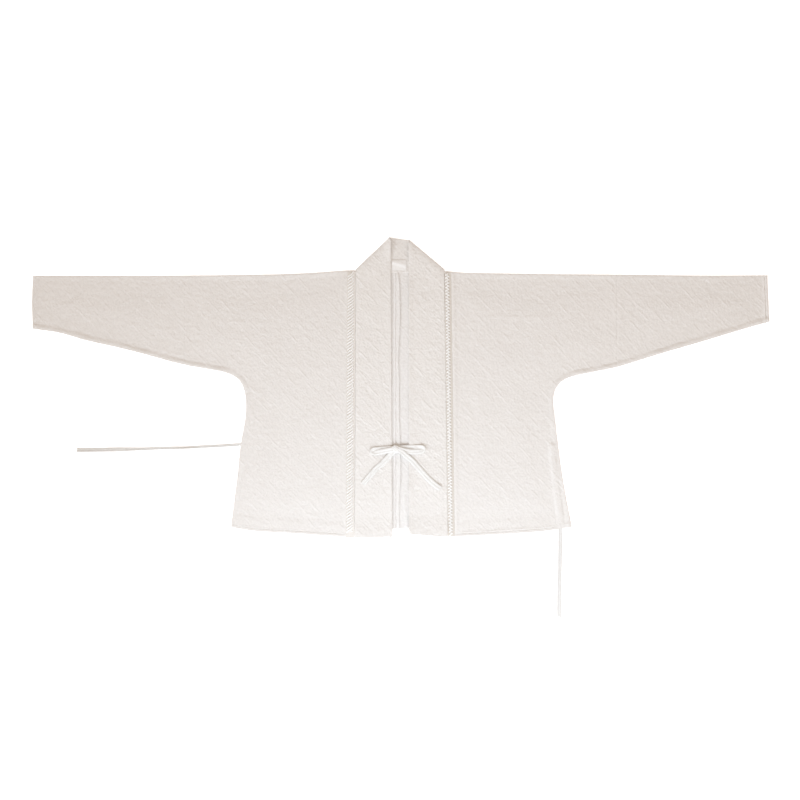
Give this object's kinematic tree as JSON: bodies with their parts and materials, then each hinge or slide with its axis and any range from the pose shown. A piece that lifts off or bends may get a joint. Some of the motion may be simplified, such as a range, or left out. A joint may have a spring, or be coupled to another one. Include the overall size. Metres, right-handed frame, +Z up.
{
  "type": "hanfu jacket laid flat",
  "caption": "White east asian jacket with long straight sleeves, a front band collar, braided trims and cloth ties in a bow, lying flat on its back.",
  "frame": {"origin": "centre of the underside of the bounding box, on the surface that the jacket lies on", "axes": "+X along the sleeves, to the right as seen from above with the collar away from the viewer, +Y from the hem towards the collar, +Z up from the surface"},
  "size_m": [1.6, 0.8265, 0.0153],
  "materials": {
    "jacquard": "matt off-white cotton with a self-coloured woven figure",
    "collar_cloth": "the same cloth doubled over an interlining",
    "braid": "soft lustrous braided cord trim",
    "tape": "plain thin cotton, pressed",
    "satin": "blank satin label tape"
  },
  "bodies": {
    "root": {"body_left": "jacquard", "body_right": "jacquard", "sleeve_left": "jacquard", "sleeve_right": "jacquard", "collar": "collar_cloth", "trim_left": "braid", "trim_right": "braid", "neck_label": "satin", "side_tie": "tape", "inner_tie": "tape", "bow_knot": "tape", "bow_root_left": "tape", "bow_root_right": "tape", "bow_tail_left": "tape", "bow_tail_right": "tape", "bow_loop_left": "tape", "bow_loop_right": "tape"}
  },
  "joints": []
}
